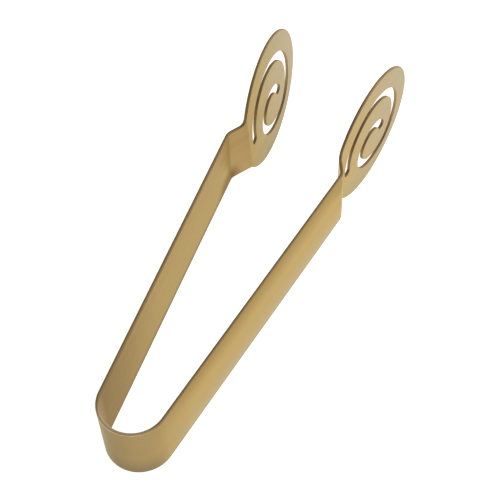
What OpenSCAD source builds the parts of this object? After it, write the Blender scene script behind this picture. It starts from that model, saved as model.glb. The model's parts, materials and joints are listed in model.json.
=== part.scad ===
// Kitchen tongs bent from one strip of sheet metal: a spring bow, two splayed arms, stepped necks and round
// paddles with a spiral slot. They stand on edge, on the bow and the rims of the paddles.
// +X runs from the bow to the paddles, +Y to the left arm, +Z up.

/* [Strip] */
// Width of the strip that makes the bow, the arms and the necks
strip_w = 22; // [16:0.5:28]
// Thickness of the sheet
sheet_t = 1; // [0.5:0.05:1.5]

/* [Spring bow] */
// Inside radius of the bow
bow_inner_r = 9.3; // [6:0.1:16]
// Angle between each arm and the centre line, with the bow relaxed
splay = 5.7; // [3:0.1:10]

/* [Arms] */
// Straight length of an arm, from the bow to the first bend of its neck
arm_len = 96; // [60:1:150]

/* [Necks] */
// Angle of the first bend, which turns the neck inwards
neck_bend = 35.5; // [15:0.5:50]
// Angle between a paddle and its arm, seen from above
paddle_toe = 0; // [-3:0.1:3]
// Inside radius of both bends
neck_bend_r = 3.3; // [2:0.1:8]
// Straight length between the two bends
neck_len = 4.7; // [4:0.1:10]
// Angle by which the line of the second bend is off square, so that the paddle's upper edge leans outwards
bend_skew = 3.75; // [0:0.25:4]

/* [Paddles] */
// Diameter of a paddle
paddle_d = 46; // [42:0.5:60]
// Height of the paddle's centre above the strip's centre line
paddle_rise = 1.6; // [0:0.1:3]
// How far the paddle's round outline reaches back from the end of the second bend, at the strip's upper edge
paddle_lap = 2.4; // [1:0.1:4]
// Radius of the hollow corner between the neck's edge and the paddle's rim
corner_r = 2.4; // [0.5:0.1:3]

/* [Spiral slot] */
// Width of the slot
slot_w = 3.1; // [2:0.1:4.5]
// Flat left between the slot's outer end and the second bend
slot_land = 2; // [0.5:0.1:3]
// Step inwards from the slot's outer stretch to its middle stretch
slot_first_step = 4.2; // [3:0.1:5]
// Step inwards from the slot's middle stretch to its inner stretch
slot_second_step = 4.1; // [2.5:0.1:4.5]
// Angle that the outer stretch turns through
slot_outer_turn = 212; // [180:1:225]
// Angle that the middle stretch turns through
slot_mid_turn = 119; // [90:1:130]
// Angle that the inner stretch turns through
slot_inner_turn = 194; // [120:1:200]
// Direction of the slot's outer end from the centre of its outer stretch
slot_start = 188; // [170:1:200]
// Centre of the outer stretch, forward of the paddle's centre
slot_forward = 0.4; // [-1:0.1:2]
// Centre of the outer stretch, above the paddle's centre
slot_up = -1.9; // [-3:0.1:1]

/* [Hidden] */
$fn = 96;

gold = [0.78, 0.66, 0.43];
// Rounds that blend into an edge run this far past it, so that they cross it instead of just touching it
bite = 0.01;
bow_mid_r = bow_inner_r + sheet_t/2;
bow_outer_r = bow_inner_r + sheet_t;
bend_mid_r = neck_bend_r + sheet_t/2;
back_bend = neck_bend - paddle_toe;
paddle_r = paddle_d/2;
// From the end of the second bend to the paddle's centre
paddle_reach = sqrt(pow(paddle_r, 2) - pow(strip_w/2 - paddle_rise, 2)) - paddle_lap;
// The paddle turns back by this angle in its own plane, which keeps its centre line level with the strip's
skew_return = atan(tan(bend_skew)*cos(neck_bend));
// Height of the sheet that the neck is cut from, and how far the skewed bend line runs back over half of it
neck_h = 2*(sqrt(pow(paddle_r, 2) - pow(paddle_reach, 2)) + paddle_rise + corner_r);
skew_run = neck_h/2*tan(bend_skew);
// Depth of a cut that passes through the stepped neck from the arm's side to the paddle's
trim_depth = 4*(bend_mid_r + neck_len);

function turn_y(v, a) = [v.x*cos(a) + v.z*sin(a), v.y, v.z*cos(a) - v.x*sin(a)];
function turn_z(v, a) = [v.x*cos(a) - v.y*sin(a), v.x*sin(a) + v.y*cos(a), v.z];
function toward(a) = [cos(a), sin(a)];

// Steps from each frame to the next, along the left half of the strip
arm_start = turn_z([0, bow_mid_r, 0], splay);
neck_start = [arm_len + bend_mid_r*sin(neck_bend), bend_mid_r*(cos(neck_bend) - 1), 0];
crease_start = [neck_len, 0, 0];
paddle_start = [bend_mid_r*sin(back_bend), bend_mid_r*(1 - cos(back_bend)), 0];

// Turns a direction or a step of the crease frame, or of the paddle frame, into the frame of the bow's axis
function from_crease(v) = turn_z(turn_y(v, -bend_skew), splay - neck_bend);
function from_paddle(v) = from_crease(turn_z(turn_y(v, skew_return), back_bend));
paddle_centre = arm_start + turn_z(neck_start, splay) + turn_z(crease_start, splay - neck_bend)
    + from_crease(paddle_start) + from_paddle([paddle_reach, 0, paddle_rise]);
paddle_normal = from_paddle([0, 1, 0]);

// How far a paddle's rim reaches from its centre along a unit direction
function rim_reach(d) = let (k = d*paddle_normal) paddle_r*sqrt(1 - k*k) + sheet_t/2*abs(k);
// The strip's lengthwise and upright directions once the tongs stand, for a given pitch
function ahead(pitch) = [cos(pitch), 0, -sin(pitch)];
function upright(pitch) = [sin(pitch), 0, cos(pitch)];
// Pitch at which the bow's lower rim and both paddles touch the same surface
stance_x = paddle_centre.x + bow_outer_r;
stance_z = paddle_centre.z + strip_w/2;
function settle(pitch, steps) = steps == 0 ? pitch
    : settle(asin(rim_reach(upright(pitch))/norm([stance_x, stance_z]))
        - atan2(stance_z, stance_x), steps - 1);
pitch = settle(0, 6);
lift = bow_outer_r*sin(pitch) + strip_w/2*cos(pitch);
back_x = ahead(pitch)*[-bow_outer_r, 0, strip_w/2];
front_x = ahead(pitch)*paddle_centre + rim_reach(ahead(pitch));

// The slot's three stretches, each tangent to the one before it
slot_outer_r = paddle_reach + slot_forward - slot_land - slot_w/2;
slot_r = [slot_outer_r, slot_outer_r - slot_first_step, slot_outer_r - slot_first_step - slot_second_step];
slot_turn = [slot_outer_turn, slot_mid_turn, slot_inner_turn];
function slot_from(k) = k == 0 ? slot_start : slot_from(k - 1) - slot_turn[k - 1];
function slot_centre(k) = k == 0 ? [slot_forward, slot_up]
    : slot_centre(k - 1) + (slot_r[k - 1] - slot_r[k])*toward(slot_from(k));
function slot_point(k) = let (j = max(k - 1, 0)) slot_centre(j) + slot_r[j]*toward(slot_from(k));

// Stands the tongs on z = 0, with the middle of their length at x = 0
module stand() translate([-(back_x + front_x)/2, 0, lift]) rotate([0, -pitch, 0]) children();
module arm_frame() translate(arm_start) rotate([0, 0, splay]) children();
module neck_frame() arm_frame() translate(neck_start) rotate([0, 0, -neck_bend]) children();
module crease_frame() neck_frame() translate(crease_start) rotate([0, -bend_skew, 0]) children();
module paddle_frame() crease_frame() translate(paddle_start) rotate([0, 0, back_bend])
    rotate([0, skew_return, 0]) children();
module at_centre() translate([paddle_reach, 0, paddle_rise]) children();
module right_side() mirror([0, 1, 0]) children();

// Extrudes an outline drawn along the strip and across its width, centred on the sheet
module through_sheet(depth) rotate([90, 0, 0]) linear_extrude(depth, center = true) children();

// A stretch of sheet bent round the Z axis, from one direction through an angle
module bent_sheet(mid_r, from, angle, width) rotate([0, 0, from]) rotate_extrude(angle = angle)
    translate([mid_r - sheet_t/2, -width/2]) square([sheet_t, width]);

// Where the round of a hollow corner is centred, from the paddle's centre: +1 above the strip, -1 below it
function corner_z(side) = side*(strip_w/2 + corner_r - bite) - paddle_rise;
function corner_x(side) = -sqrt(pow(paddle_r + corner_r - bite, 2) - pow(corner_z(side), 2));

// Round outline of a paddle with the hollow corners that lead into it, drawn about the paddle's centre
module paddle_outline() {
    circle(paddle_r);
    for (side = [-1, 1]) difference() {
        polygon([[0, 0], [corner_x(side), corner_z(side)], [corner_x(side), 0]]);
        translate([corner_x(side), corner_z(side)]) circle(corner_r);
    }
}

// The slot: a round at each end and at each change of radius, and the stretches between them
module slot() {
    for (k = [0 : len(slot_r)])
        translate(slot_point(k)) cylinder(h = 2*sheet_t, d = slot_w + 2*bite, center = true);
    for (k = [0 : len(slot_r) - 1])
        translate(slot_centre(k)) rotate(slot_from(k + 1)) rotate_extrude(angle = slot_turn[k])
            translate([slot_r[k] - slot_w/2, -sheet_t]) square([slot_w, 2*sheet_t]);
}

module bow_form() bent_sheet(bow_mid_r, 90 + splay, 180 - 2*splay, strip_w);

module arm_form() arm_frame() translate([0, -sheet_t/2, -strip_w/2]) cube([arm_len, sheet_t, strip_w]);

// A flat stretch of the sheet that the neck is cut from
module neck_flat(from, to) translate([from, -sheet_t/2, -neck_h/2]) cube([to - from, sheet_t, neck_h]);

// The two bends, each with its own stretch of the flat between them; both lie in one plane and overlap
module neck_sheet() {
    neck_frame() {
        translate([0, -bend_mid_r, 0]) bent_sheet(bend_mid_r, 90, neck_bend, neck_h);
        neck_flat(0, neck_len - skew_run);
    }
    crease_frame() {
        neck_flat(skew_run - neck_len, 0);
        translate([0, bend_mid_r, 0]) bent_sheet(bend_mid_r, -90, back_bend, neck_h);
    }
}

module neck_form() intersection() {
    neck_sheet();
    union() {
        neck_frame() cube([trim_depth, trim_depth, strip_w], center = true);
        paddle_frame() at_centre() through_sheet(trim_depth) paddle_outline();
    }
}

module paddle_form() paddle_frame() difference() {
    intersection() {
        at_centre() through_sheet(sheet_t) paddle_outline();
        through_sheet(2*sheet_t) polygon([
            [paddle_d*tan(skew_return), -paddle_d], [2*paddle_d, -paddle_d],
            [2*paddle_d, paddle_d], [-paddle_d*tan(skew_return), paddle_d]]);
    }
    at_centre() rotate([90, 0, 0]) slot();
}

module spring_bow() color(gold) stand() bow_form();
module left_arm() color(gold) stand() arm_form();
module right_arm() color(gold) stand() right_side() arm_form();
module left_neck() color(gold) stand() neck_form();
module right_neck() color(gold) stand() right_side() neck_form();
module left_paddle() color(gold) stand() paddle_form();
module right_paddle() color(gold) stand() right_side() paddle_form();

spring_bow();
left_arm();
right_arm();
left_neck();
right_neck();
left_paddle();
right_paddle();
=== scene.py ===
import json
import math

import bmesh
import bpy
from mathutils import Matrix, Vector


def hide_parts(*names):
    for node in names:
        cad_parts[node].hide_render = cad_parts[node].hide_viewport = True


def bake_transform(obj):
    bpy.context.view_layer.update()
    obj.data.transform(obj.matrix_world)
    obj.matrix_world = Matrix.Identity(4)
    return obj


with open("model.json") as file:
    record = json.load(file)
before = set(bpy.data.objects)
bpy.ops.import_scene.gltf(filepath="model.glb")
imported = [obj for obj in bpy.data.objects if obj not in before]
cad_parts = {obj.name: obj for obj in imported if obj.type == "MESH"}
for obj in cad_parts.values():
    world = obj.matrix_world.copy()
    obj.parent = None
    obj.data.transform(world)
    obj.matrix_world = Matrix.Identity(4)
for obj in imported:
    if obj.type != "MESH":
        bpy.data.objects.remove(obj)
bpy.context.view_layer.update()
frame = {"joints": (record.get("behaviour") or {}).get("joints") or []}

scene = bpy.context.scene

# The tongs are shaped about the axis of their bow, then stood up the way the frame has them
squeeze = frame["joints"][0]
bowUp = -Vector(squeeze["axis"])
upright = Vector((0, 0, 1)).rotation_difference(bowUp).to_matrix().to_4x4()
standing = Matrix.Translation(squeeze["pos_m"]) @ upright


# Camera, measured round the bow's axis
photoCamera = {
    "azimuth": -61.742,     # degrees
    "elevation": 54.304,
    "roll": -2.769,
    "right": 0.031082,      # metres from the middle of that axis, in the camera's own directions
    "up": 0.047173,
    "back": 0.351187,
    "lens": 91.71,          # millimetres, like the sensor
    "sensor": 36,
    "nearest": 0.01,        # metres; anything closer isn't drawn
}


def addCamera(c):
    around = math.radians(c["azimuth"])
    above = math.radians(c["elevation"])
    roll = math.radians(c["roll"])
    outward = math.cos(above)
    back = Vector((math.sin(around) * outward, -math.cos(around) * outward, math.sin(above)))
    level = Vector((math.cos(around), math.sin(around), 0))
    steep = back.cross(level)
    right = math.cos(roll) * level + math.sin(roll) * steep
    up = math.cos(roll) * steep - math.sin(roll) * level
    turn = Matrix((right, up, back)).transposed()
    place = turn @ Vector((c["right"], c["up"], c["back"]))
    data = bpy.data.cameras.new("photoCamera")
    data.lens = c["lens"]
    data.sensor_width = c["sensor"]
    data.clip_start = c["nearest"]
    camera = bpy.data.objects.new("photoCamera", data)
    scene.collection.objects.link(camera)
    camera.matrix_world = standing @ Matrix.Translation(place) @ turn.to_4x4()
    scene.camera = camera


addCamera(photoCamera)
print("camera placed")


# The blank is drawn in the XZ plane, one vertex after another, from points (along the strip, up the page)
seedSize = 0.001        # metres, of the plane that a piece or a chain of edges starts from
fewestFacets = 6        # in any arc


def flat(point):
    return Vector((point[0], 0, point[1]))


def startChain(point):
    bpy.ops.mesh.select_all(action="DESELECT")
    bpy.ops.mesh.primitive_plane_add(size=seedSize)
    bpy.ops.mesh.merge(type="CENTER")
    bpy.ops.transform.translate(value=flat(point) - chainEnd())


def chainEnd():
    mesh = bmesh.from_edit_mesh(bpy.context.object.data)
    return [v.co.copy() for v in mesh.verts if v.select][0]


def lineTo(point):
    bpy.ops.mesh.extrude_vertices_move(TRANSFORM_OT_translate={"value": flat(point) - chainEnd()})


# Carries the chain on along an arc, in facets of so many degrees; positive degrees turn from x towards up
def arcRound(centre, degrees, facet):
    steps = max(fewestFacets, math.ceil(abs(degrees) / facet))
    bpy.ops.mesh.spin(steps=steps, angle=math.radians(degrees), center=flat(centre), axis=(0, 1, 0))


def turned(point, degrees):
    return Matrix.Rotation(math.radians(degrees), 2) @ Vector(point)


def toward(degrees):
    return turned((1, 0), degrees)


# One half of the tongs is a flat blank, from the middle of the bow to the paddle's tip, which is then bent
strip = {
    "width": 0.022,
    "sheet": 0.001,
    "bowInside": 0.0093,        # inside radius of the bow
    "splay": 5.7,               # degrees between an arm and the centre line
    "arm": 0.096,
    "neckInside": 0.0033,       # inside radius of the neck's two bends
    "neckBend": 35.5,
    "neckFlat": 0.0047,         # flat left between the two bends
    "neckSkew": 3.75,           # degrees that the second bend's line is off square
    "bowFacets": 81,            # in the whole bow; odd, so that one facet spans its middle
    "neckFacets": 12,
    "rimRound": 0.00036,        # the outline's edges are worn rounder than the slot's
    "slotRound": 0.00012,
    "edgeSegments": 5,
    "sharpAngle": 60,           # degrees between two faces, past which their edge is rounded
    "smoothAngle": 35,          # degrees up to which they are shaded as one
}
paddle = {
    "across": 0.046,
    "rise": 0.0016,             # centre above the strip's centre line
    "lap": 0.0024,              # outline reaches back past the second bend by this much
    "cornerRound": 0.0024,      # hollow corners between the neck and the paddle
    "facet": 2.5,               # degrees of arc
    "cornerFacet": 4,
}
slot = {
    "width": 0.0031,
    "land": 0.002,              # flat between its outer end and the second bend
    "steps": (0.0042, 0.0041),  # inwards, from each stretch to the next
    "turns": (212, 119, 194),   # degrees that the three stretches turn through
    "start": 188,               # bearing of the outer end, in degrees
    "forward": 0.0004,          # centre of the outer stretch from the paddle's centre
    "up": -0.0019,
    "facet": 3,                 # degrees of arc
    "endFacet": 10,
}
onLine = 1e-7           # metres within which a point counts as on a line
sameSpot = 1e-6         # metres within which points are merged
sameFace = 0.3          # degrees up to which neighbouring faces of the flat blank are made one
edgeIndex = 1           # of the cut edge among the sheet's materials
innerIndex = 2          # of the inner face


# A bend is a run of facets: where each fold line lies on the blank, and by how many degrees it folds
def foldLines(start, radius, degrees, facets):
    turn = degrees / facets
    chord = 2 * radius * math.sin(math.radians(abs(turn)) / 2)
    lines = [(start + k * chord, turn / 2 if k in (0, facets) else turn) for k in range(facets + 1)]
    return lines, chord * facets


bowRadius = strip["bowInside"] + strip["sheet"] / 2
neckRadius = strip["neckInside"] + strip["sheet"] / 2
bowTurn = 2 * (90 - strip["splay"])
bowRun = foldLines(0, bowRadius, bowTurn, strip["bowFacets"])[1]
bowFolds = [f for f in foldLines(-bowRun / 2, bowRadius, -bowTurn, strip["bowFacets"])[0] if f[0] > 0]
armEnd = bowRun / 2 + strip["arm"]
firstFolds, firstRun = foldLines(armEnd, neckRadius, -strip["neckBend"], strip["neckFacets"])
secondFolds, secondRun = foldLines(0, neckRadius, strip["neckBend"], strip["neckFacets"])
crease = Vector((armEnd + firstRun + strip["neckFlat"], 0))

paddleRadius = paddle["across"] / 2
paddleReach = math.sqrt(paddleRadius**2 - (strip["width"] / 2 - paddle["rise"])**2) - paddle["lap"]

# The paddle turns back in its own plane, which keeps its centre line level with the strip's
skewTan = math.tan(math.radians(strip["neckSkew"])) * math.cos(math.radians(strip["neckBend"]))
skewReturn = math.degrees(math.atan(skewTan))
paddleTurn = strip["neckSkew"] - skewReturn
paddleCentre = (crease + turned((secondRun, 0), strip["neckSkew"])
                + turned((paddleReach, paddle["rise"]), paddleTurn))


def drawOutline():
    half = strip["width"] / 2
    corner = paddle["cornerRound"]
    corners = []
    for side in (-1, 1):
        z = side * (half + corner)
        x = paddleCentre.x - math.sqrt((paddleRadius + corner)**2 - (z - paddleCentre.y)**2)
        aim = math.degrees(math.atan2(paddleCentre.y - z, paddleCentre.x - x))
        corners.append((Vector((x, z)), aim))
    (lower, lowerAim), (upper, upperAim) = corners
    startChain((0, -half))
    lineTo((lower.x, -half))
    arcRound(lower, lowerAim - 90, paddle["cornerFacet"])
    arcRound(paddleCentre, 360 + upperAim - lowerAim, paddle["facet"])
    arcRound(upper, -90 - upperAim, paddle["cornerFacet"])
    lineTo((0, half))
    lineTo((0, -half))


def drawSlot():
    half = slot["width"] / 2
    radius = [paddleReach + slot["forward"] - slot["land"] - half]
    for step in slot["steps"]:
        radius.append(radius[-1] - step)
    bearing = [slot["start"] + paddleTurn]
    for turn in slot["turns"]:
        bearing.append(bearing[-1] - turn)
    centres = [paddleCentre + turned((slot["forward"], slot["up"]), paddleTurn)]
    for k in (1, 2):
        centres.append(centres[-1] + (radius[k - 1] - radius[k]) * toward(bearing[k]))
    first = centres[0] + radius[0] * toward(bearing[0])
    last = centres[2] + radius[2] * toward(bearing[3])
    startChain(first + half * toward(bearing[0]))
    for k in (0, 1, 2):
        arcRound(centres[k], -slot["turns"][k], slot["facet"])
    arcRound(last, -180, slot["endFacet"])
    for k in (2, 1, 0):
        arcRound(centres[k], slot["turns"][k], slot["facet"])
    arcRound(first, -180, slot["endFacet"])


def cutAcross(where, skew):
    bpy.ops.mesh.select_all(action="SELECT")
    bpy.ops.mesh.bisect(plane_co=flat(where), plane_no=flat(toward(skew)), threshold=onLine)


def selectBeyond(places, where, skew, slack):
    mesh = bmesh.from_edit_mesh(bpy.context.object.data)
    along = toward(skew)
    bpy.ops.mesh.select_all(action="DESELECT")
    for v, place in zip(mesh.verts, places):
        v.select = (place - where).dot(along) > slack
    mesh.select_flush_mode()


# With no window the operator turns the other way, so the sign is changed
def turnSelected(degrees, axis, about):
    bpy.ops.transform.rotate(value=-math.radians(degrees), orient_axis=axis, center_override=flat(about))


# Bends what lies beyond a fold line; what lies on the line takes half of the turn
def bendAt(places, where, turn, skew):
    bpy.ops.mesh.select_all(action="SELECT")
    turnSelected(skew, "Y", where)
    for slack in (-onLine, onLine):
        selectBeyond(places, where, skew, slack)
        turnSelected(turn / 2, "Z", where)
    bpy.ops.mesh.select_all(action="SELECT")
    turnSelected(-skew, "Y", where)


def bendBlank():
    folds = [(Vector((x, 0)), turn, 0) for x, turn in bowFolds + firstFolds]
    for x, turn in secondFolds:
        folds.append((crease + turned((x, 0), strip["neckSkew"]), turn, strip["neckSkew"]))
    bpy.ops.object.mode_set(mode="EDIT")
    for where, turn, skew in folds:
        cutAcross(where, skew)
    mesh = bmesh.from_edit_mesh(bpy.context.object.data)
    places = [Vector((v.co.x, v.co.z)) for v in mesh.verts]
    layer = mesh.loops.layers.uv.verify()
    for face in mesh.faces:
        for loop in face.loops:
            loop[layer].uv = places[loop.vert.index]
    for where, turn, skew in reversed(folds):
        bendAt(places, where, turn, skew)
    bpy.ops.object.mode_set(mode="OBJECT")


def selectOnly(piece):
    bpy.ops.object.select_all(action="DESELECT")
    piece.select_set(True)
    bpy.context.view_layer.objects.active = piece


def applyModifier(piece, kind, **settings):
    modifier = piece.modifiers.new(kind.lower(), kind)
    for name, value in settings.items():
        setattr(modifier, name, value)
    bpy.context.view_layer.objects.active = piece
    bpy.ops.object.modifier_apply(modifier=modifier.name)


# Rounds the sharp edges of the slot, or else those of the outline, on the flat blank
def roundEdges(ofSlot, offset):
    bpy.ops.object.mode_set(mode="EDIT")
    mesh = bmesh.from_edit_mesh(bpy.context.object.data)
    bpy.ops.mesh.select_mode(type="EDGE")
    bpy.ops.mesh.select_all(action="DESELECT")
    for edge in mesh.edges:
        place = edge.verts[0].co
        fromCentre = (Vector((place.x, place.z)) - paddleCentre).length
        inSlot = fromCentre < paddleRadius - slot["land"] / 2
        onMiddle = all(v.co.x < onLine for v in edge.verts)
        sharp = edge.calc_face_angle(0) > math.radians(strip["sharpAngle"])
        level = abs(edge.verts[0].co.y - edge.verts[1].co.y) < onLine
        edge.select = sharp and level and not onMiddle and inSlot == ofSlot
    mesh.select_flush_mode()
    bpy.ops.mesh.bevel(offset=offset, segments=strip["edgeSegments"], affect="EDGES",
                       clamp_overlap=False, material=edgeIndex)
    bpy.ops.mesh.select_mode(type="VERT")
    bpy.ops.object.mode_set(mode="OBJECT")


def makeHalf(name):
    bpy.ops.object.select_all(action="DESELECT")
    bpy.ops.mesh.primitive_plane_add(size=seedSize)
    piece = bpy.context.object
    piece.name = piece.data.name = name
    bpy.ops.object.mode_set(mode="EDIT")
    bpy.ops.mesh.delete(type="VERT")
    drawOutline()
    drawSlot()
    bpy.ops.mesh.select_all(action="SELECT")
    bpy.ops.mesh.remove_doubles(threshold=sameSpot)
    bpy.ops.mesh.fill()
    bpy.ops.mesh.select_all(action="SELECT")
    bpy.ops.mesh.dissolve_limited(angle_limit=math.radians(sameFace), delimit=set())
    bpy.ops.mesh.normals_make_consistent(inside=False)
    mesh = bmesh.from_edit_mesh(piece.data)
    mesh.faces.ensure_lookup_table()
    if mesh.faces[0].normal.y < 0:      # the outer side is the one towards +Y
        bpy.ops.mesh.flip_normals()
    bpy.ops.object.mode_set(mode="OBJECT")
    for material in (outerGold, cutEdge, innerGold):
        piece.data.materials.append(material)
    applyModifier(piece, "SOLIDIFY", thickness=strip["sheet"], offset=0,
                  material_offset_rim=edgeIndex, material_offset=innerIndex)
    roundEdges(False, strip["rimRound"])
    roundEdges(True, strip["slotRound"])
    bendBlank()
    return piece


# Finishes: two node groups, and three materials that use them with their own values; the tone group paints
# light and shade into the colour
def nodeGroup(name, inputs, outputs):
    group = bpy.data.node_groups.new(name, "ShaderNodeTree")
    for label, kind in inputs:
        group.interface.new_socket(label, in_out="INPUT", socket_type=kind)
    for label, kind in outputs:
        group.interface.new_socket(label, in_out="OUTPUT", socket_type=kind)
    return group, group.nodes.new("NodeGroupInput"), group.nodes.new("NodeGroupOutput")


def addNode(tree, kind, **settings):
    node = tree.nodes.new(kind)
    for name, value in settings.items():
        setattr(node, name, value)
    return node


def feed(tree, source, socket):
    if isinstance(source, bpy.types.NodeSocket):
        tree.links.new(source, socket)
    else:
        socket.default_value = source


def maths(tree, operation, first, second=0.0):
    node = addNode(tree, "ShaderNodeMath", operation=operation)
    feed(tree, first, node.inputs[0])
    feed(tree, second, node.inputs[1])
    return node.outputs["Value"]


def mixed(tree, mask, first, second):
    node = addNode(tree, "ShaderNodeMix", data_type="RGBA")
    feed(tree, mask, node.inputs["Factor"])
    feed(tree, first, node.inputs["A"])
    feed(tree, second, node.inputs["B"])
    return node.outputs["Result"]


def noise(tree, place, scale, detail):
    node = addNode(tree, "ShaderNodeTexNoise")
    feed(tree, place, node.inputs["Vector"])
    feed(tree, scale, node.inputs["Scale"])
    feed(tree, detail, node.inputs["Detail"])
    return node.outputs["Fac"]


# A mask that goes smoothly from 0 to 1 while a value goes from start to end
def fade(tree, value, start, end):
    node = addNode(tree, "ShaderNodeMapRange", interpolation_type="SMOOTHSTEP")
    feed(tree, value, node.inputs["Value"])
    feed(tree, start, node.inputs["From Min"])
    feed(tree, end, node.inputs["From Max"])
    return node.outputs["Result"]


# A mask that shows where two fades both do
def overlap(tree, first, second):
    return maths(tree, "MULTIPLY", fade(tree, *first), fade(tree, *second))


# Fine lines and broader bands along the strip, with clouds that vary the lines
brushing = {
    "stretch": (0.03, 1, 1),    # draws the lines and bands out along the strip
    "streakDetail": 3,
    "bandsPerMetre": 320,
    "bandDetail": 1,
    "cloudsPerMetre": 60,
    "cloudDetail": 2,
    "average": 0.5,             # value of a noise
}


def brushedGroup(b):
    inputs = ("Streaks per Metre", "Shade Spread", "Band Spread", "Roughness", "Roughness Spread")
    outputs = ("Shade", "Roughness", "Height")
    group, given, result = nodeGroup(
        "brushedGrain",
        [(label, "NodeSocketFloat") for label in inputs],
        [(label, "NodeSocketFloat") for label in outputs])
    own = given.outputs
    link = group.links.new
    place = addNode(group, "ShaderNodeUVMap")
    stretched = addNode(group, "ShaderNodeVectorMath", operation="MULTIPLY")
    link(place.outputs["UV"], stretched.inputs[0])
    stretched.inputs[1].default_value = b["stretch"]
    streaks = noise(group, stretched.outputs["Vector"], own["Streaks per Metre"], b["streakDetail"])
    bands = noise(group, stretched.outputs["Vector"], b["bandsPerMetre"], b["bandDetail"])
    clouds = noise(group, place.outputs["UV"], b["cloudsPerMetre"], b["cloudDetail"])
    both = maths(group, "ADD", streaks, clouds)
    uneven = maths(group, "SUBTRACT", both, 2 * b["average"])
    shaded = maths(group, "MULTIPLY", uneven, own["Shade Spread"])
    rougher = maths(group, "MULTIPLY", uneven, own["Roughness Spread"])
    unevenBands = maths(group, "SUBTRACT", bands, b["average"])
    banded = maths(group, "MULTIPLY", unevenBands, own["Band Spread"])
    change = maths(group, "ADD", shaded, banded)
    link(maths(group, "ADD", change, 1.0), result.inputs["Shade"])
    link(maths(group, "ADD", rougher, own["Roughness"]), result.inputs["Roughness"])
    link(streaks, result.inputs["Height"])
    return group


# How the gold changes over the strip: across the arms, round the bow, on the neck and out to the tip. Apart
# from the middle tone, these tones are painted light and shade: paler and darker reflections, highlights
# and shadows laid into the colour.
# The UV map holds metres on the flat strip, along it from the bow's middle, less than 0 on the right half.
# A pair says where a tone starts to show and where it shows in full; one number is where it shows in full.
paintedLightZones = {
    "armAlong": (0.118, 0.108),
    "upperAcross": (0.001, 0.012),
    "lowerFull": -0.0115,
    "bowFull": 0.006,
    "footAcross": (-0.002, -0.011),
    "footAlong": (0.014, 0.009),
    "leftFirst": (-0.006, 0.006),
    "leftFull": 0.005,
    "neckFirst": (0.11, 0.113),
    "neckLast": (0.121, 0.117),
    "bendRound": (0.0065, 0.0015),      # from the middle of the darker spot in the first bend
    "tipAlong": (0.115, 0.155),
    "tipFootAcross": (-0.004, -0.024),
    "tipFootAlong": (0.117, 0.124),
}


def paintedLightToneGroup(zones):
    colours = ("Upper", "Middle", "Lower", "Bow", "Bow Foot", "Bow Left", "Neck", "Bend", "Tip", "Tip Foot")
    sizes = ("Bow Length", "Lower Start", "Left End", "Bend Place", "Bend Height", "Bend Length")
    group, given, result = nodeGroup(
        "stripToneWithPaintedLight",
        [(label, "NodeSocketColor") for label in colours] + [(label, "NodeSocketFloat") for label in sizes],
        [("Colour", "NodeSocketColor")])
    own = given.outputs
    place = addNode(group, "ShaderNodeUVMap")
    split = addNode(group, "ShaderNodeSeparateXYZ")
    group.links.new(place.outputs["UV"], split.inputs["Vector"])
    signed = split.outputs["X"]
    across = split.outputs["Y"]
    along = maths(group, "ABSOLUTE", signed)
    fromBend = maths(group, "SUBTRACT", along, own["Bend Place"])
    aside = maths(group, "DIVIDE", fromBend, own["Bend Length"])
    above = maths(group, "SUBTRACT", across, own["Bend Height"])
    squares = maths(group, "ADD", maths(group, "POWER", aside, 2.0), maths(group, "POWER", above, 2.0))
    onArm = (along, *zones["armAlong"])
    # Each mask lays one painted tone over the middle one: painted shade, painted reflection or painted
    # highlight
    paintedLightMasks = {
        "Lower": overlap(group, (across, own["Lower Start"], zones["lowerFull"]), onArm),
        "Upper": overlap(group, (across, *zones["upperAcross"]), onArm),
        "Bow": fade(group, along, own["Bow Length"], zones["bowFull"]),
        "Bow Foot": overlap(group, (across, *zones["footAcross"]), (along, *zones["footAlong"])),
        "Bow Left": overlap(group, (signed, *zones["leftFirst"]),
                            (signed, own["Left End"], zones["leftFull"])),
        "Neck": overlap(group, (along, *zones["neckFirst"]), (along, *zones["neckLast"])),
        "Bend": fade(group, maths(group, "SQRT", squares), *zones["bendRound"]),
        "Tip": fade(group, along, *zones["tipAlong"]),
        "Tip Foot": overlap(group, (across, *zones["tipFootAcross"]), (along, *zones["tipFootAlong"])),
    }
    tone = own["Middle"]
    for label, mask in paintedLightMasks.items():
        tone = mixed(group, mask, tone, own[label])
    group.links.new(tone, result.inputs["Colour"])
    return group


brushedGrain = brushedGroup(brushing)
stripToneWithPaintedLight = paintedLightToneGroup(paintedLightZones)
glancingTint = (1, 0.86, 0.62, 1)       # of the gold where it is seen edge on
bumpStrength = 0.15

# The finish of each side of the sheet, with painted light and shade in its tones; colours are linear,
# lengths are metres on the flat strip
outerLook = {
    "tones": {
        # Painted shade: the arms' upper band is darker
        "Upper": (0.224, 0.145, 0.042, 1),
        "Middle": (0.337, 0.25, 0.103, 1),
        # Painted reflection: the arms' lower band is paler
        "Lower": (0.34, 0.29, 0.205, 1),
        # Painted shade: the outside of the bow is darker, and darker still at its foot
        "Bow": (0.28, 0.202, 0.092, 1),
        "Bow Foot": (0.2, 0.15, 0.085, 1),
        # Painted reflection: the bow's left side is darker and greyer
        "Bow Left": (0.172, 0.14, 0.09, 1),
        "Neck": (0.337, 0.25, 0.103, 1),
        # Painted shade: a darker spot in the neck's first bend
        "Bend": (0.24, 0.163, 0.06, 1),
        # Painted reflection: the paddle grows paler out to its tip, less so along its foot
        "Tip": (0.305, 0.27, 0.208, 1),
        "Tip Foot": (0.27, 0.238, 0.17, 1),
        "Bow Length": 0.03,         # where the bow's tone gives way to the arm's
        "Lower Start": -0.001,      # where the lower tone starts, across the strip
        "Left End": 0.016,
        "Bend Place": 0.11,         # middle of the darker spot in the first bend
        "Bend Height": 0.008,
        "Bend Length": 1,           # times its height
    },
    "grain": {
        "Streaks per Metre": 2600,
        "Shade Spread": 0.12,
        "Band Spread": 0.1,
        "Roughness": 0.34,
        "Roughness Spread": 0.08,
    },
    "bumpHeight": 0.00001,
}
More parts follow.
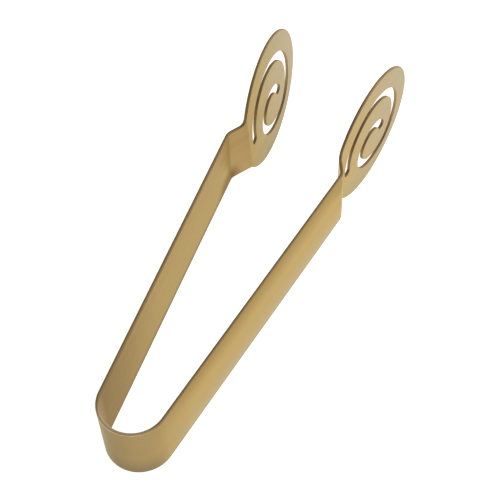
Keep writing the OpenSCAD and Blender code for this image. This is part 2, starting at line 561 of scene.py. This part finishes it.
innerLook = {
    "tones": {
        "Upper": (0.32, 0.222, 0.093, 1),
        "Middle": (0.307, 0.226, 0.089, 1),
        # Painted shade: a dark line along the arms' lower edge
        "Lower": (0.075, 0.06, 0.042, 1),
        # Painted shade: the inside of the bow is darker, at its foot and left side too
        "Bow": (0.172, 0.113, 0.048, 1),
        "Bow Foot": (0.16, 0.108, 0.046, 1),
        "Bow Left": (0.172, 0.113, 0.048, 1),
        # Painted light: the neck's inner face is lighter
        "Neck": (0.37, 0.252, 0.105, 1),
        # Painted shade: a dark spot at the lower corner of the neck's first bend
        "Bend": (0.11, 0.06, 0.02, 1),
        # Painted reflection: the paddle grows paler out to its tip, less so along its foot
        "Tip": (0.303, 0.27, 0.205, 1),
        "Tip Foot": (0.24, 0.21, 0.145, 1),
        "Bow Length": 0.06,
        "Lower Start": -0.0075,
        "Left End": 0.016,
        "Bend Place": 0.1075,
        "Bend Height": -0.0095,
        "Bend Length": 1.5,
    },
    "grain": {
        "Streaks per Metre": 2600,
        "Shade Spread": 0.12,
        "Band Spread": 0.2,
        "Roughness": 0.34,
        "Roughness Spread": 0.08,
    },
    "bumpHeight": 0.00001,
}
edgeLook = {
    "tones": {
        "Upper": (0.34, 0.24, 0.105, 1),
        "Middle": (0.34, 0.24, 0.105, 1),
        # Painted shade: the lower cut edges are darker
        "Lower": (0.2, 0.15, 0.085, 1),
        # Painted highlight: the bow's cut edge is paler
        "Bow": (0.6, 0.46, 0.26, 1),
        # Painted shade: the bow's lower cut edge is darker
        "Bow Foot": (0.18, 0.135, 0.075, 1),
        # Painted highlight: the cut edge on the bow's left is paler still
        "Bow Left": (0.66, 0.53, 0.34, 1),
        "Neck": (0.34, 0.24, 0.105, 1),
        "Bend": (0.34, 0.24, 0.105, 1),
        # Painted light: the paddles' cut edges and slot walls are lighter
        "Tip": (0.4, 0.285, 0.15, 1),
        "Tip Foot": (0.4, 0.285, 0.15, 1),
        "Bow Length": 0.013,
        "Lower Start": -0.001,
        "Left End": 0.009,
        "Bend Place": 0.11,
        "Bend Height": 0.008,
        "Bend Length": 1,
    },
    "grain": {
        "Streaks per Metre": 5200,
        "Shade Spread": 0.2,
        "Band Spread": 0.1,
        "Roughness": 0.6,
        "Roughness Spread": 0.06,
    },
    "bumpHeight": 0.00002,
}


def goldMaterial(name, look):
    material = bpy.data.materials.new(name)
    material.use_nodes = True
    tree = material.node_tree
    link = tree.links.new
    shader = tree.nodes["Principled BSDF"]
    shader.inputs["Metallic"].default_value = 1
    shader.inputs["Specular Tint"].default_value = glancingTint
    tone = addNode(tree, "ShaderNodeGroup", node_tree=stripToneWithPaintedLight)
    for label, value in look["tones"].items():
        tone.inputs[label].default_value = value
    grain = addNode(tree, "ShaderNodeGroup", node_tree=brushedGrain)
    for label, value in look["grain"].items():
        grain.inputs[label].default_value = value
    shaded = addNode(tree, "ShaderNodeVectorMath", operation="SCALE")
    link(tone.outputs["Colour"], shaded.inputs["Vector"])
    link(grain.outputs["Shade"], shaded.inputs["Scale"])
    link(shaded.outputs["Vector"], shader.inputs["Base Color"])
    link(grain.outputs["Roughness"], shader.inputs["Roughness"])
    bump = addNode(tree, "ShaderNodeBump")
    bump.inputs["Strength"].default_value = bumpStrength
    bump.inputs["Distance"].default_value = look["bumpHeight"]
    link(grain.outputs["Height"], bump.inputs["Height"])
    link(bump.outputs["Normal"], shader.inputs["Normal"])
    return material


outerGold = goldMaterial("outerGold", outerLook)
innerGold = goldMaterial("innerGold", innerLook)
cutEdge = goldMaterial("cutEdge", edgeLook)
print("finishes made")


# The two halves: the right one is the left one's mirror image
def mirrorHalf(piece, name):
    twin = piece.copy()
    twin.data = piece.data.copy()
    twin.name = twin.data.name = name
    scene.collection.objects.link(twin)
    twin.scale.y = -1
    selectOnly(twin)
    bpy.ops.object.transform_apply(location=False, rotation=False, scale=True)
    bpy.ops.object.mode_set(mode="EDIT")
    bpy.ops.mesh.select_all(action="SELECT")
    bpy.ops.mesh.normals_make_consistent(inside=False)
    bpy.ops.object.mode_set(mode="OBJECT")
    for corner in twin.data.uv_layers.active.data:
        corner.uv.x = -corner.uv.x
    return twin


def placeHalf(piece, matrix):
    selectOnly(piece)
    piece.matrix_world = matrix
    bpy.ops.object.transform_apply(location=True, rotation=True, scale=True)


def finishHalf(piece, side):
    selectOnly(piece)
    bpy.ops.object.shade_smooth_by_angle(angle=math.radians(strip["smoothAngle"]))
    applyModifier(piece, "WEIGHTED_NORMAL", mode="FACE_AREA", keep_sharp=True)
    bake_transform(piece)
    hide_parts("spring_bow", side + "_arm", side + "_neck", side + "_paddle")


leftHalf = makeHalf("left_half_sheet")
halfFacet = math.radians(bowTurn / strip["bowFacets"] / 2)
towardsArm = Matrix.Rotation(math.radians(90), 4, "Z")
bowMiddle = Matrix.Translation((-bowRadius * math.cos(halfFacet), 0, 0)) @ towardsArm
placeHalf(leftHalf, bowMiddle)
rightHalf = mirrorHalf(leftHalf, "right_half_sheet")
for half, side in ((leftHalf, "left"), (rightHalf, "right")):
    placeHalf(half, standing)
    finishHalf(half, side)
    print(half.name, "has", len(half.data.polygons), "faces")


# Floor and studio light
studio = {
    "floorSize": 6.0,
    "floorDrop": 0.0001,                    # below the rims that the tongs stand on
    "floorColour": (0.92, 0.92, 0.92, 1),
    "floorRoughness": 0.8,
    "floorGloss": 0.2,
    "floorGlow": 0.92,
    "darkSide": (0.24, 0.24, 0.24, 1),
    "brightSide": (0.85, 0.85, 0.85, 1),
    "brightFrom": (0.55, -0.6, 0.58),       # direction in which the sky is brightest
    "skyFade": (0.45, 0.75),                # cosines from it, between which the sky brightens
    "softboxPlace": (0.6, -0.9, 0.9),
    "softboxAim": (0, 0, 0),
    "softboxSize": 1.6,
    "softboxWatts": 6,
}


def addFloor(s):
    bpy.ops.object.select_all(action="DESELECT")
    bpy.ops.mesh.primitive_plane_add(size=s["floorSize"], location=(0, 0, -s["floorDrop"]))
    floor = bpy.context.object
    floor.name = "floor"
    material = bpy.data.materials.new("paleFloor")
    material.use_nodes = True
    shader = material.node_tree.nodes["Principled BSDF"]
    shader.inputs["Base Color"].default_value = s["floorColour"]
    shader.inputs["Roughness"].default_value = s["floorRoughness"]
    shader.inputs["Specular IOR Level"].default_value = s["floorGloss"]
    shader.inputs["Emission Color"].default_value = s["floorColour"]
    shader.inputs["Emission Strength"].default_value = s["floorGlow"]
    floor.data.materials.append(material)


def addSky(s):
    world = bpy.data.worlds.new("studioWorld")
    world.use_nodes = True
    tree = world.node_tree
    place = addNode(tree, "ShaderNodeTexCoord")
    nearness = addNode(tree, "ShaderNodeVectorMath", operation="DOT_PRODUCT")
    tree.links.new(place.outputs["Generated"], nearness.inputs[0])
    nearness.inputs[1].default_value = s["brightFrom"]
    brightening = fade(tree, nearness.outputs["Value"], *s["skyFade"])
    grey = mixed(tree, brightening, s["darkSide"], s["brightSide"])
    tree.links.new(grey, tree.nodes["Background"].inputs["Color"])
    scene.world = world


def addSoftbox(s):
    data = bpy.data.lights.new("keySoftbox", "AREA")
    data.shape = "SQUARE"
    data.size = s["softboxSize"]
    data.energy = s["softboxWatts"]
    light = bpy.data.objects.new("keySoftbox", data)
    scene.collection.objects.link(light)
    light.location = s["softboxPlace"]
    aim = Vector(s["softboxAim"]) - light.location
    light.rotation_euler = aim.to_track_quat("-Z", "Y").to_euler()


addFloor(studio)
addSky(studio)
addSoftbox(studio)
scene.view_settings.view_transform = "Standard"
print("studio lit")
